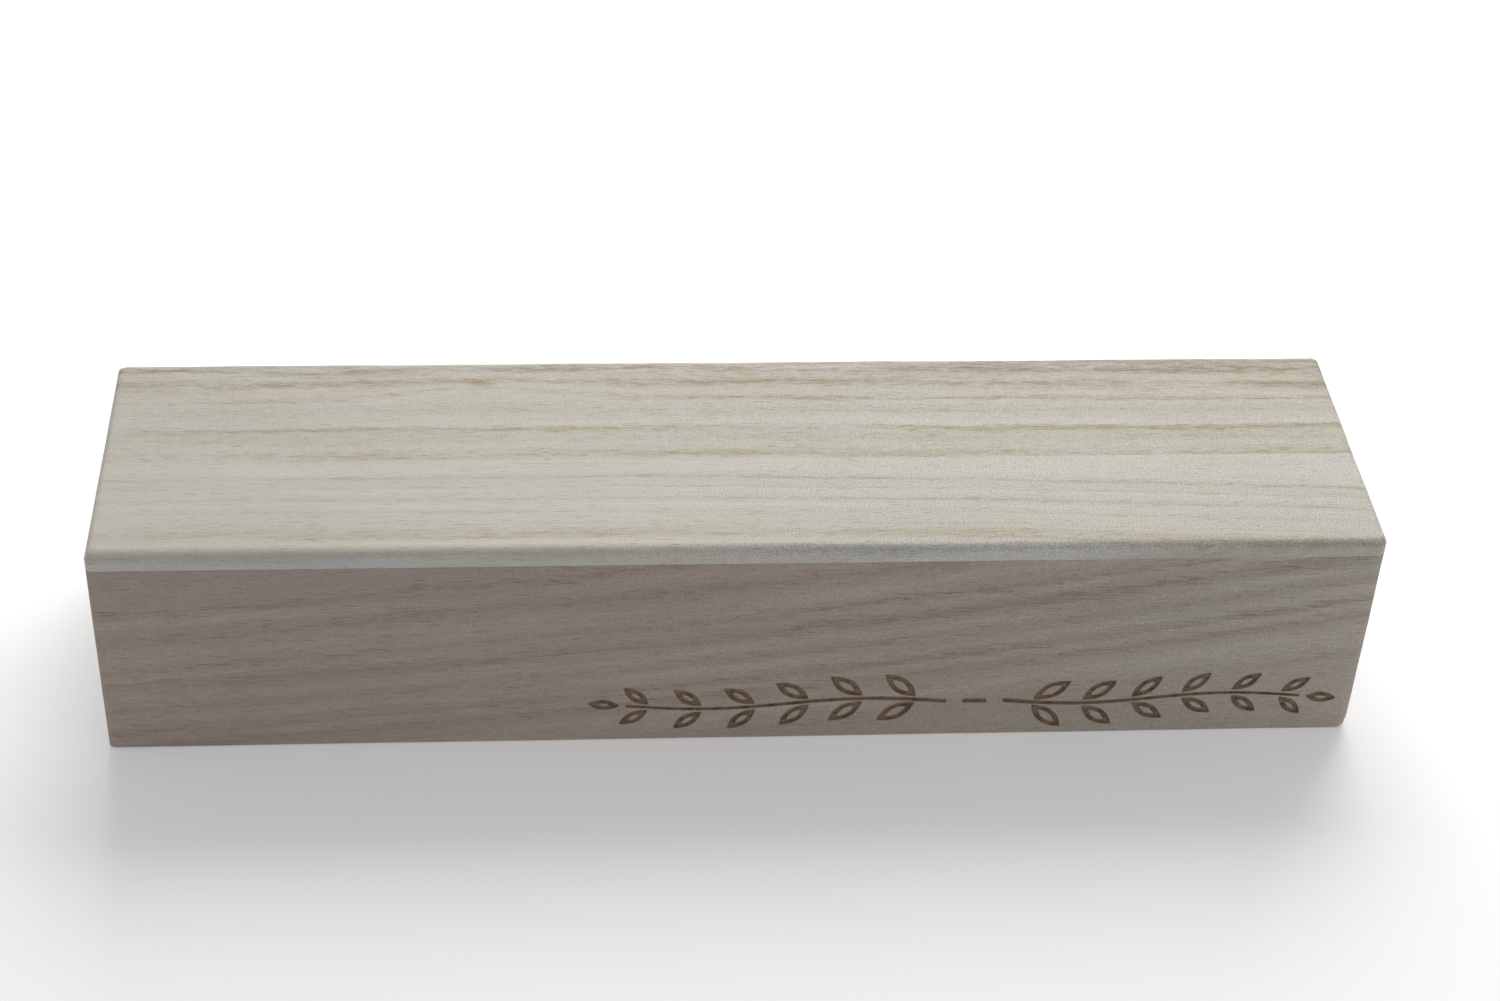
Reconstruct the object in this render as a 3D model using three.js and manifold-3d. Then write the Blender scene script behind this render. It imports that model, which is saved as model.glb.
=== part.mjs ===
// A long wooden plaque in the form of a block: thin planks glued up as a closed case.
// The front board carries an engraved pair of leafy sprigs, and the bottom panel is screwed on.
// Millimetres, +Z up, engraved face towards -Y, origin on the base under the middle of the case.

import * as THREE from 'three';
import { mergeVertices } from 'three/addons/utils/BufferGeometryUtils.js';
import Module from 'manifold-3d';

const wasm = await Module();
wasm.setup();

// ---- Driving dimensions ----

const LENGTH = 350;
const DEPTH = 87;
const HEIGHT = 69;
const BOARD = 5; // thickness of every plank and of the bottom panel
const SEAM_FROM_FRONT = 39.75; // width of the front stave of the top board
const REBATE = 2; // how far the end boards and the bottom panel sit into the walls
const PANEL_PLAY = 0.25; // gap all round the removable bottom panel
const SAW_ALLOWANCE = 1; // how far the rough planks stand out before the case is sanded

// Radii that sanding leaves on the outer edges. The long edges run along X, the end edges along Y.
const LONG_EDGES = { topFront: 2.75, topRear: 2, bottomFront: 1, bottomRear: 1 };
const END_EDGES = { topLeft: 1.75, topRight: 1.25, bottomLeft: 1, bottomRight: 3 };
const UPRIGHT_EDGE = 1.5;
const EDGE_STEPS = 5;

const BLOCK_SIDE = 10;
const BLOCK_TOP_GAP = 4; // the corner blocks end this far below the top board
const BLOCK_CHAMFER = 3;

const SCREW = { length: 16, shank: 1.45, head: 3, sunk: 0.3, point: 3, slotWidth: 0.8, slotDepth: 1.1 };
const SCREW_PLAY = 0.15; // radial clearance of the countersink and the holes
const PILOT_SPARE = 1.5; // the pilot hole is this much deeper than the screw
const ROUND_SIDES = 20;
// Each corner's name, the end and side it stands on, and the turn in degrees of its block.
const CORNERS = [
  { place: 'front_left', end: -1, side: -1, turn: 180 },
  { place: 'front_right', end: 1, side: -1, turn: 270 },
  { place: 'rear_left', end: -1, side: 1, turn: 90 },
  { place: 'rear_right', end: 1, side: 1, turn: 0 },
];

const ENGRAVING = { depth: 0.5, line: 1.4, stemTip: 0.9 };
const LEAF = { longest: 12.5, shortest: 9, fatness: 0.42, lean: 0.66, pairs: 6, gap: 1.8, steps: 5 };
const STEM_STEPS = 20;
// Each sprig grows along the face from its cut end to its tip; sway is how far the stem waves.
const SPRIGS = [
  { cutEnd: 58, tip: -32, height: 13, sway: 1.5 },
  { cutEnd: 74, tip: 159, height: 13, sway: -1.5 },
];
const DASH = { from: 62.5, to: 69.5, height: 13 };
const CUTTER_CLEARANCE = 1; // how far a cutter reaches in front of the face
const WELD = 1e-4; // vertices closer than this are one

// ---- Places that follow from them ----

const END_X = LENGTH / 2;
const FRONT_Y = -DEPTH / 2;
const SEAM_Y = FRONT_Y + SEAM_FROM_FRONT;
const WALL_TOP = HEIGHT - BOARD;
const INNER_X = END_X - BOARD;
const INNER_Y = DEPTH / 2 - BOARD;
const REBATE_X = INNER_X + REBATE;
const REBATE_Y = INNER_Y + REBATE;
const SCREW_X = INNER_X - BLOCK_SIDE / 2;
const SCREW_Y = INNER_Y - BLOCK_SIDE / 2;

// ---- Finishes ----

function finish(color, roughness, metalness = 0) {
  return new THREE.MeshStandardMaterial({ color, roughness, metalness, flatShading: true });
}

const PALE_WOOD = finish(0xdcd5c0, 0.78);
const STREAKED_WOOD = finish(0xd2c6ad, 0.78);
const MAUVE_WOOD = finish(0xb7a794, 0.8);
const END_WOOD = finish(0xc4b59d, 0.82);
const PANEL_WOOD = finish(0xcdbf9f, 0.8);
const BLOCK_WOOD = finish(0xc9b48c, 0.85);
const BRASS = finish(0xb08d4a, 0.35, 1);

// ---- From three.js geometry to solids and back ----

function solidOf(geometry) {
  const bare = geometry.clone();
  bare.deleteAttribute('normal');
  bare.deleteAttribute('uv');
  const welded = mergeVertices(bare, WELD);
  const corners = welded.index.array;
  const faces = [];
  for (let i = 0; i < corners.length; i += 3) {
    const [a, b, c] = corners.slice(i, i + 3);
    if (a !== b && b !== c && c !== a) faces.push(a, b, c);
  }
  const vertProperties = Float32Array.from(welded.attributes.position.array);
  return new wasm.Manifold(
    new wasm.Mesh({ numProp: 3, vertProperties, triVerts: Uint32Array.from(faces) }),
  );
}

function geometryOf(solid) {
  const mesh = solid.getMesh();
  const geometry = new THREE.BufferGeometry();
  geometry.setAttribute('position', new THREE.BufferAttribute(mesh.vertProperties, 3));
  geometry.setIndex(new THREE.BufferAttribute(mesh.triVerts, 1));
  return geometry;
}

function span(a, b) {
  return [Math.min(a, b), Math.max(a, b)];
}

// A box between two limits on each axis.
function box([x0, x1], [y0, y1], [z0, z1]) {
  const geometry = new THREE.BoxGeometry(x1 - x0, y1 - y0, z1 - z0);
  geometry.translate((x0 + x1) / 2, (y0 + y1) / 2, (z0 + z1) / 2);
  return solidOf(geometry);
}

// A prism whose outline lies in the plane of the first two directions and grows along the third.
function prism(outline, depth, across, up, along, start, steps = EDGE_STEPS) {
  const options = { depth, bevelEnabled: false, curveSegments: steps };
  const geometry = new THREE.ExtrudeGeometry(outline, options);
  geometry.applyMatrix4(new THREE.Matrix4().makeBasis(across, up, along));
  geometry.translate(start.x, start.y, start.z);
  return solidOf(geometry);
}

// A solid of revolution about Z, from radius and height pairs listed upwards.
function turned(profile) {
  const points = profile.map(([radius, height]) => new THREE.Vector2(radius, height));
  const geometry = new THREE.LatheGeometry(points, ROUND_SIDES);
  geometry.rotateX(Math.PI / 2);
  return solidOf(geometry);
}

const X = new THREE.Vector3(1, 0, 0);
const Y = new THREE.Vector3(0, 1, 0);
const Z = new THREE.Vector3(0, 0, 1);
const FORWARDS = new THREE.Vector3(0, -1, 0);

// ---- The sanded case ----

// A rectangle with a radius of its own at each corner.
function easedRectangle(left, bottom, right, top, radii) {
  const { bottomLeft, bottomRight, topRight, topLeft } = radii;
  const quarter = Math.PI / 2;
  const outline = new THREE.Shape();
  outline.absarc(left + bottomLeft, bottom + bottomLeft, bottomLeft, 2 * quarter, 3 * quarter);
  outline.absarc(right - bottomRight, bottom + bottomRight, bottomRight, 3 * quarter, 4 * quarter);
  outline.absarc(right - topRight, top - topRight, topRight, 0, quarter);
  outline.absarc(left + topLeft, top - topLeft, topLeft, quarter, 2 * quarter);
  return outline;
}

// The outer form of the whole case, which every plank is sanded down to.
function sandedForm() {
  const { topFront, topRear, bottomFront, bottomRear } = LONG_EDGES;
  const sectionRadii = {
    bottomLeft: bottomFront,
    bottomRight: bottomRear,
    topRight: topRear,
    topLeft: topFront,
  };
  const planRadii = {
    bottomLeft: UPRIGHT_EDGE,
    bottomRight: UPRIGHT_EDGE,
    topRight: UPRIGHT_EDGE,
    topLeft: UPRIGHT_EDGE,
  };
  const section = easedRectangle(FRONT_Y, 0, -FRONT_Y, HEIGHT, sectionRadii);
  const face = easedRectangle(-END_X, 0, END_X, HEIGHT, END_EDGES);
  const plan = easedRectangle(-END_X, FRONT_Y, END_X, -FRONT_Y, planRadii);
  return prism(section, LENGTH, Y, Z, X, new THREE.Vector3(-END_X, 0, 0))
    .intersect(prism(face, DEPTH, X, Z, FORWARDS, new THREE.Vector3(0, -FRONT_Y, 0)))
    .intersect(prism(plan, HEIGHT, X, Y, Z, new THREE.Vector3()));
}

const FORM = sandedForm();
const ROUGH_X = [-END_X - SAW_ALLOWANCE, END_X + SAW_ALLOWANCE];
const ROUGH_WALL_Z = [-SAW_ALLOWANCE, WALL_TOP];

function topStave(y0, y1) {
  return box(ROUGH_X, [y0, y1], [WALL_TOP, HEIGHT + SAW_ALLOWANCE]).intersect(FORM);
}

// A long wall, with rebates in its inner face for both end boards and the bottom panel.
function longWall(side) {
  const outer = side * (DEPTH / 2 + SAW_ALLOWANCE);
  const rebateY = span(side * REBATE_Y, 0);
  const plank = box(ROUGH_X, span(outer, side * INNER_Y), ROUGH_WALL_Z);
  const bottomRebate = box(ROUGH_X, rebateY, [-SAW_ALLOWANCE, BOARD]);
  const endRebates = [-1, 1].map((end) =>
    box(span(end * INNER_X, end * (END_X + SAW_ALLOWANCE)), rebateY, [0, HEIGHT]),
  );
  return plank
    .subtract(bottomRebate)
    .subtract(endRebates[0])
    .subtract(endRebates[1])
    .intersect(FORM);
}

// An end board, which sits in the rebates of both long walls and has one for the bottom panel.
function endBoard(side) {
  const depth = [-REBATE_Y, REBATE_Y];
  const plank = box(span(side * INNER_X, side * (END_X + SAW_ALLOWANCE)), depth, ROUGH_WALL_Z);
  const bottomRebate = box(span(0, side * REBATE_X), depth, [-SAW_ALLOWANCE, BOARD]);
  return plank.subtract(bottomRebate).intersect(FORM);
}

// ---- The engraving ----

// A cutter that reaches from just before the front face down to the engraved depth.
function faceCutter(outline) {
  const start = new THREE.Vector3(0, FRONT_Y + ENGRAVING.depth, 0);
  return prism(outline, ENGRAVING.depth + CUTTER_CLEARANCE, X, Z, FORWARDS, start, LEAF.steps);
}

// A point of a sprig's stem, where t runs from 0 at the cut end to 1 at the tip.
function stemPoint(sprig, t) {
  const x = THREE.MathUtils.lerp(sprig.cutEnd, sprig.tip, t);
  return new THREE.Vector2(x, sprig.height + sprig.sway * Math.sin(2 * Math.PI * t));
}

function stemDirection(sprig, t) {
  const step = 1 / STEM_STEPS;
  return stemPoint(sprig, t + step).sub(stemPoint(sprig, t - step)).normalize();
}

// The stem is one line that thins towards the tip.
function stemOutline(sprig) {
  const near = [];
  const far = [];
  for (let i = 0; i <= STEM_STEPS; i += 1) {
    const t = i / STEM_STEPS;
    const along = stemDirection(sprig, t);
    const across = new THREE.Vector2(-along.y, along.x);
    const half = THREE.MathUtils.lerp(ENGRAVING.line, ENGRAVING.stemTip, t) / 2;
    near.push(stemPoint(sprig, t).addScaledVector(across, half));
    far.unshift(stemPoint(sprig, t).addScaledVector(across, -half));
  }
  return new THREE.Shape([...near, ...far]);
}

// One lens-shaped loop, anticlockwise: out to the tip along its right side and back along its left.
function traceLens(path, root, tip, halfWidth) {
  const along = tip.clone().sub(root).normalize();
  const middle = root.clone().lerp(tip, 0.5);
  const bulge = new THREE.Vector2(-along.y, along.x).multiplyScalar(2 * halfWidth);
  const left = middle.clone().add(bulge);
  const right = middle.clone().sub(bulge);
  path.moveTo(root.x, root.y);
  path.quadraticCurveTo(right.x, right.y, tip.x, tip.y);
  path.quadraticCurveTo(left.x, left.y, root.x, root.y);
  return path;
}

// A leaf is the line round a lens, so the lens inside it stays standing. It stops short of the stem.
function leafOutline(bud, direction, length) {
  const inset = ENGRAVING.line;
  const root = bud.clone().addScaledVector(direction, LEAF.gap);
  const halfWidth = (length * LEAF.fatness) / 2;
  const tip = root.clone().addScaledVector(direction, length);
  const outline = traceLens(new THREE.Shape(), root, tip, halfWidth);
  const innerRoot = root.clone().addScaledVector(direction, 2 * inset);
  const innerTip = tip.clone().addScaledVector(direction, -2 * inset);
  outline.holes.push(traceLens(new THREE.Path(), innerRoot, innerTip, halfWidth - inset));
  return outline;
}

// Leaves stand in pairs along the stem and shrink towards the tip, where one ends the sprig.
function leafOutlines(sprig) {
  const outlines = [];
  for (let i = 0; i < LEAF.pairs; i += 1) {
    const t = (i + 0.5) / LEAF.pairs;
    const along = stemDirection(sprig, t);
    const length = THREE.MathUtils.lerp(LEAF.longest, LEAF.shortest, t);
    for (const side of [-1, 1]) {
      const leaning = along.clone().rotateAround(new THREE.Vector2(), side * LEAF.lean);
      outlines.push(leafOutline(stemPoint(sprig, t), leaning, length));
    }
  }
  outlines.push(leafOutline(stemPoint(sprig, 1), stemDirection(sprig, 1), LEAF.shortest));
  return outlines;
}

function dashOutline() {
  const half = ENGRAVING.line / 2;
  const quarter = Math.PI / 2;
  const outline = new THREE.Shape();
  outline.absarc(DASH.to - half, DASH.height, half, -quarter, quarter);
  outline.absarc(DASH.from + half, DASH.height, half, quarter, 3 * quarter);
  return outline;
}

function frontBoard() {
  const outlines = [dashOutline()];
  for (const sprig of SPRIGS) {
    outlines.push(stemOutline(sprig), ...leafOutlines(sprig));
  }
  return outlines.reduce((board, outline) => board.subtract(faceCutter(outline)), longWall(-1));
}

// ---- The bottom panel, its corner blocks and its screws ----

// The space that a screw needs: a countersunk head and a plain hole up to a given height.
function screwHole(top) {
  const radius = SCREW.shank + SCREW_PLAY;
  const mouth = SCREW.head + SCREW.sunk + SCREW_PLAY;
  const below = SAW_ALLOWANCE;
  return turned([
    [0, -below],
    [mouth + below, -below],
    [radius, mouth - radius],
    [radius, top],
    [0, top],
  ]);
}

const SCREW_HOLE = screwHole(SCREW.sunk + SCREW.length + PILOT_SPARE);

function screwPlace({ end, side }) {
  return [end * SCREW_X, side * SCREW_Y, 0];
}

function bottomPanel() {
  const x = REBATE_X - PANEL_PLAY;
  const y = REBATE_Y - PANEL_PLAY;
  return CORNERS.reduce(
    (panel, corner) => panel.subtract(SCREW_HOLE.translate(screwPlace(corner))),
    box([-x, x], [-y, y], [0, BOARD]),
  );
}

// A glued post in one corner of the case, bored from below for its screw. Its chamfer faces inwards.
function cornerBlock(corner) {
  const half = BLOCK_SIDE / 2;
  const outline = new THREE.Shape();
  outline.moveTo(half, half);
  outline.lineTo(-half, half);
  outline.lineTo(-half, BLOCK_CHAMFER - half);
  outline.lineTo(BLOCK_CHAMFER - half, -half);
  outline.lineTo(half, -half);
  const height = WALL_TOP - BLOCK_TOP_GAP - BOARD;
  const post = prism(outline, height, X, Y, Z, new THREE.Vector3(0, 0, BOARD));
  const facing = post.rotate([0, 0, corner.turn]);
  return facing.subtract(SCREW_HOLE).translate(screwPlace(corner));
}

// A countersunk brass wood screw, head down, with a cross recess.
function screw() {
  const { length, shank, head, sunk, point, slotWidth, slotDepth } = SCREW;
  const body = turned([
    [0, sunk],
    [head, sunk],
    [shank, sunk + head - shank],
    [shank, sunk + length - point],
    [0, sunk + length],
  ]);
  const reach = head - slotDepth - slotWidth / 2;
  const wide = [-reach, reach];
  const narrow = [-slotWidth / 2, slotWidth / 2];
  const deep = [0, sunk + slotDepth];
  return body.subtract(box(wide, narrow, deep)).subtract(box(narrow, wide, deep));
}

// ---- The assembly ----

const plaque = new THREE.Group();

function add(name, solid, material) {
  const mesh = new THREE.Mesh(geometryOf(solid), material);
  mesh.name = name;
  plaque.add(mesh);
  return mesh;
}

add('top_front_stave', topStave(FRONT_Y - SAW_ALLOWANCE, SEAM_Y), PALE_WOOD);
add('top_rear_stave', topStave(SEAM_Y, -FRONT_Y + SAW_ALLOWANCE), STREAKED_WOOD);
add('front_board', frontBoard(), MAUVE_WOOD);
add('back_board', longWall(1), MAUVE_WOOD);
add('left_end_board', endBoard(-1), END_WOOD);
add('right_end_board', endBoard(1), END_WOOD);
add('bottom_panel', bottomPanel(), PANEL_WOOD);
for (const corner of CORNERS) {
  add(`corner_block_${corner.place}`, cornerBlock(corner), BLOCK_WOOD);
  add(`bottom_screw_${corner.place}`, screw(), BRASS).position.set(...screwPlace(corner));
}

export default plaque;
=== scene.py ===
"""A long wooden plaque in the form of a block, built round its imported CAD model.

The planks are remade as fine meshes with sanded edges and a real engraved groove, and every
material is procedural. Places and sizes come from the frame; lengths are in metres unless a
name or comment says millimetres.
"""

import math

import bmesh
import bpy
import numpy as np
from mathutils import Matrix, Vector
from mathutils.geometry import delaunay_2d_cdt


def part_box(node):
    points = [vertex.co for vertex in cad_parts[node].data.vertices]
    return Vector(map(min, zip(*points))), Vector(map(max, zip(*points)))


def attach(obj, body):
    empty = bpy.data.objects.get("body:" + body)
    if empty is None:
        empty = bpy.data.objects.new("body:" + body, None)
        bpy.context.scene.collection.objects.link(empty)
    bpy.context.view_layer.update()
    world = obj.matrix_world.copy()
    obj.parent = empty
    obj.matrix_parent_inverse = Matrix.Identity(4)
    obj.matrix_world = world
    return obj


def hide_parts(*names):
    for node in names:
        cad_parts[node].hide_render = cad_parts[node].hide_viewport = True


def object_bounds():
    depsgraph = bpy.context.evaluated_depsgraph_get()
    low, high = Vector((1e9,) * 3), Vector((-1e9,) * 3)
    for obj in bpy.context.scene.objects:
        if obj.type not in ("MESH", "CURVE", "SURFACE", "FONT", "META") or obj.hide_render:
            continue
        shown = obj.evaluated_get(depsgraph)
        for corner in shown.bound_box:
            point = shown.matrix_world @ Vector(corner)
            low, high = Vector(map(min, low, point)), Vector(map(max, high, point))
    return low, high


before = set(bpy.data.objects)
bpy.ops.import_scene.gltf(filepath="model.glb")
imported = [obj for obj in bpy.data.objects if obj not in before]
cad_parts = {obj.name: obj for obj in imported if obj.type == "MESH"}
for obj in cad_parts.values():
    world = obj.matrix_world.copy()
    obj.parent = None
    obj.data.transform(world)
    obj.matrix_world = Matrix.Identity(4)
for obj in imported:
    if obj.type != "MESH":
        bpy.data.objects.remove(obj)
cad_box = [list(corner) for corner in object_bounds()]

MM = 0.001
LOW, HIGH = (np.array(corner) for corner in cad_box)
LENGTH = HIGH[0] - LOW[0]

# ---------------------------------------------------------------------------
# The sanded form of the case
# ---------------------------------------------------------------------------

# Each outer edge: the two axes it is seen across, the sides it lies on, and its mean radius.
EDGES = [
    (1, 2, -1, +1, 2.75 * MM),
    (1, 2, +1, +1, 2.0 * MM),
    (1, 2, -1, -1, 1.0 * MM),
    (1, 2, +1, -1, 1.0 * MM),
    (0, 2, -1, +1, 1.75 * MM),
    (0, 2, +1, +1, 2.25 * MM),
    (0, 2, -1, -1, 1.0 * MM),
    (0, 2, +1, -1, 3.0 * MM),
    (0, 1, -1, -1, 1.5 * MM),
    (0, 1, +1, -1, 3.0 * MM),
    (0, 1, -1, +1, 2.75 * MM),
    (0, 1, +1, +1, 2.0 * MM),
]
# Hand sanding lets a radius drift along its edge: wavelength, share of the radius.
SANDING_DRIFT = [(0.083, 0.06), (0.031, 0.04), (0.012, 0.02)]
SANDING_FALL = 1.2  # share of a radius lost per metre towards the positive end


def drift(distance, number):
    """How much an edge's radius differs from its nominal value, at points along the edge."""
    total = 1 - SANDING_FALL * distance
    for wave, share in SANDING_DRIFT:
        total += share * np.sin(2 * np.pi * distance / wave + 1.7 * number)
    return total


def sanded(points):
    """Moves points of the square-edged case onto its eased form. Points inside move with it."""
    p = points.copy()
    for number, (a, b, side_a, side_b, radius) in enumerate(EDGES):
        along = 3 - a - b
        r = radius * drift(p[:, along], number)
        centre_a = (HIGH[a] - r) if side_a > 0 else (LOW[a] + r)
        centre_b = (HIGH[b] - r) if side_b > 0 else (LOW[b] + r)
        da = (p[:, a] - centre_a) * side_a
        db = (p[:, b] - centre_b) * side_b
        corner = (da > 0) & (db > 0)
        pull = np.maximum(da, db)[corner] / np.hypot(da, db)[corner]
        p[corner, a] = centre_a[corner] + side_a * da[corner] * pull
        p[corner, b] = centre_b[corner] + side_b * db[corner] * pull
    return p


# ---------------------------------------------------------------------------
# Planks as grids of cells
# ---------------------------------------------------------------------------

EASE_LINES = np.array([0, 0.2, 0.45, 0.75, 1.1, 1.5, 2.0, 2.75, 3.3, 4.2]) * MM
GRID_STEP = 5 * MM
SHARP_ANGLE = math.radians(35)
CLOSE = 1e-6  # coordinates this near to each other are the same


def grid_lines(low, high, axis, cuts=()):
    """Grid lines across a plank: close together where an outer edge is eased, and at cuts."""
    steps = max(1, round((high - low) / GRID_STEP))
    lines = [np.linspace(low, high, steps + 1), [c for c in cuts if low < c < high]]
    if math.isclose(low, LOW[axis], abs_tol=CLOSE):
        lines.append(low + EASE_LINES)
    if math.isclose(high, HIGH[axis], abs_tol=CLOSE):
        lines.append(high - EASE_LINES)
    merged = np.unique(np.round(np.concatenate(lines), 6))
    return merged[(merged > low - 1e-7) & (merged < high + 1e-7)]


def cell_surface(lines, cut_boxes):
    """Points and quads round the cells of a grid that lie in none of the cut boxes."""
    middles = np.meshgrid(*((a[1:] + a[:-1]) / 2 for a in lines), indexing="ij")
    wood = np.ones(middles[0].shape, bool)
    for low, high in cut_boxes:
        inside = [(m > lo) & (m < hi) for m, lo, hi in zip(middles, low, high)]
        wood &= ~np.logical_and.reduce(inside)
    wood = np.pad(wood, 1)
    quads = []
    for axis in range(3):
        u, v = (axis + 1) % 3, (axis + 2) % 3
        change = np.diff(wood.astype(int), axis=axis)
        for into in (1, -1):
            cells = np.argwhere(change == into)
            cells[:, u] -= 1
            cells[:, v] -= 1
            ring = [(0, 0), (1, 0), (1, 1), (0, 1)]
            if into == 1:
                ring.reverse()
            corners = np.repeat(cells[:, None, :], 4, axis=1)
            for i, (du, dv) in enumerate(ring):
                corners[:, i, u] += du
                corners[:, i, v] += dv
            quads.append(corners)
    quads = np.concatenate(quads)
    flat = quads.reshape(-1, 3)
    used, index = np.unique(flat, axis=0, return_inverse=True)
    points = np.stack([lines[a][used[:, a]] for a in range(3)], axis=1)
    return points, index.reshape(-1, 4)


def add_mesh(name, points, faces, material, smooth=True):
    mesh = bpy.data.meshes.new(name)
    mesh.from_pydata([tuple(p) for p in points], [], [tuple(int(i) for i in f) for f in faces])
    mesh.validate()
    piece = bpy.data.objects.new(name, mesh)
    bpy.context.scene.collection.objects.link(piece)
    mesh.materials.append(material)
    if smooth:
        mesh.shade_smooth()
        mesh.set_sharp_from_angle(angle=SHARP_ANGLE)
    return piece


def stand_for(piece, node):
    """The piece rides on the case and replaces its CAD node."""
    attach(piece, "root")
    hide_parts(node)
    return piece


def node_box(node):
    low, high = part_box(node)
    return np.array(low), np.array(high)


# The walls' inner faces and rebates, read from the nodes that sit in them.
wall_low, wall_high = node_box("front_board")
BOARD = wall_high[1] - wall_low[1]
END_LOW, END_HIGH = node_box("right_end_board")
PANEL_LOW, PANEL_HIGH = node_box("bottom_panel")
REBATE_Y = END_HIGH[1]
REBATE_X = END_LOW[0] + (REBATE_Y - (HIGH[1] - BOARD))
FAR = 1.0


def bottom_rebate():
    return [-REBATE_X, -REBATE_Y, -FAR], [REBATE_X, REBATE_Y, PANEL_HIGH[2]]


def wall_cuts():
    """The rebates of a long wall: one at each end and one along the bottom."""
    right_end = [END_LOW[0], -REBATE_Y, -FAR], [FAR, REBATE_Y, FAR]
    left_end = [-FAR, -REBATE_Y, -FAR], [-END_LOW[0], REBATE_Y, FAR]
    under = [-FAR, -REBATE_Y, -FAR], [FAR, REBATE_Y, PANEL_HIGH[2]]
    return [right_end, left_end, under]


def plank_surface(node, cut_boxes=(), cut_lines=((), (), ())):
    low, high = node_box(node)
    lines = []
    for axis in range(3):
        cuts = list(cut_lines[axis])
        for box in cut_boxes:
            cuts += [box[0][axis], box[1][axis]]
        lines.append(grid_lines(low[axis], high[axis], axis, cuts))
    return lines, cell_surface(lines, cut_boxes)


def plank(node, material, cut_boxes=()):
    _, (points, quads) = plank_surface(node, cut_boxes)
    return stand_for(add_mesh(f"{node}_wood", sanded(points), quads, material), node)


# ---------------------------------------------------------------------------
# The engraved ornament, in millimetres on the front face: x to the right, z up
# ---------------------------------------------------------------------------

LINE_WIDTH = 1.4
STEM_TIP_WIDTH = 0.9
LEAF_LONGEST, LEAF_SHORTEST = 12.5, 9.0
LEAF_FATNESS, LEAF_LEAN, LEAF_GAP, LEAF_PAIRS = 0.42, 0.66, 1.8, 6
SPRIGS = [
    {"cut_end": 58, "tip": -32, "height": 13, "sway": 1.5},
    {"cut_end": 74, "tip": 159, "height": 13, "sway": -1.5},
]
DASH = {"from": 62.5, "to": 69.5, "height": 13}
POINT_SPACING = 0.35
GROOVE_DEPTH = 0.5
GROOVE_WALL = 0.34  # how far in from a line's edge the full depth is reached
BURN_SPREAD = 0.22  # how far the scorching reaches past a line's edge
FLOOR_ROUGHNESS = 0.05
WINDOW = {"x": (-50, 171), "z": (2, 26)}  # the part of the face that holds the ornament


def stem_point(sprig, t):
    x = sprig["cut_end"] + (sprig["tip"] - sprig["cut_end"]) * t
    return np.array([x, sprig["height"] + sprig["sway"] * math.sin(2 * math.pi * t)])


def stem_direction(sprig, t):
    step = 0.05
    way = stem_point(sprig, t + step) - stem_point(sprig, t - step)
    return way / np.linalg.norm(way)


def turned_left(v):
    return np.array([-v[1], v[0]])


def stem_loop(sprig):
    """The outline of a stem that thins towards its tip."""
    length = abs(sprig["tip"] - sprig["cut_end"])
    near, far = [], []
    for t in np.linspace(0, 1, round(length / POINT_SPACING)):
        half = (LINE_WIDTH + (STEM_TIP_WIDTH - LINE_WIDTH) * t) / 2
        across = turned_left(stem_direction(sprig, t))
        near.append(stem_point(sprig, t) + half * across)
        far.append(stem_point(sprig, t) - half * across)
    return np.array(near + far[::-1])


def lens_loop(root, tip, half_width):
    """A pointed loop: two curves between root and tip that bulge to either side."""
    across = turned_left((tip - root) / np.linalg.norm(tip - root))
    steps = max(4, round(np.linalg.norm(tip - root) / POINT_SPACING))
    t = np.linspace(0, 1, steps, endpoint=False)[:, None]

    def side(start, end, bulge):
        control = (start + end) / 2 + bulge * 2 * half_width * across
        return (1 - t) ** 2 * start + 2 * t * (1 - t) * control + t**2 * end

    return np.concatenate([side(root, tip, -1), side(tip, root, 1)])


def leaf_loops(bud, direction, length):
    root = bud + direction * LEAF_GAP
    tip = root + direction * length
    half = length * LEAF_FATNESS / 2
    inner_root = root + 2 * LINE_WIDTH * direction
    inner_tip = tip - 2 * LINE_WIDTH * direction
    return [lens_loop(root, tip, half), lens_loop(inner_root, inner_tip, half - LINE_WIDTH)]


def dash_loop():
    """A short bar with round ends."""
    half = LINE_WIDTH / 2
    left, right, height = DASH["from"] + half, DASH["to"] - half, DASH["height"]
    xs = np.arange(left, right, POINT_SPACING)
    under = [(x, height - half) for x in xs]
    over = [(x, height + half) for x in xs[::-1]]
    turn = np.linspace(-math.pi / 2, math.pi / 2, 8)
    right_end = [(right + half * math.cos(a), height + half * math.sin(a)) for a in turn]
    left_end = [(left - half * math.cos(a), height - half * math.sin(a)) for a in turn[:-1]]
    return np.array(under + right_end + over + left_end)


def ornament():
    """Every engraved shape as a list of loops: its outline, then what stays standing inside it."""
    shapes = [[dash_loop()]]
    for sprig in SPRIGS:
        shapes.append([stem_loop(sprig)])
        for i in range(LEAF_PAIRS):
            t = (i + 0.5) / LEAF_PAIRS
            length = LEAF_LONGEST + (LEAF_SHORTEST - LEAF_LONGEST) * t
            heading = math.atan2(*reversed(stem_direction(sprig, t)))
            for lean in (-LEAF_LEAN, LEAF_LEAN):
                way = np.array([math.cos(heading + lean), math.sin(heading + lean)])
                shapes.append(leaf_loops(stem_point(sprig, t), way, length))
        shapes.append(leaf_loops(stem_point(sprig, 1), stem_direction(sprig, 1), LEAF_SHORTEST))
    return shapes


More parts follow.
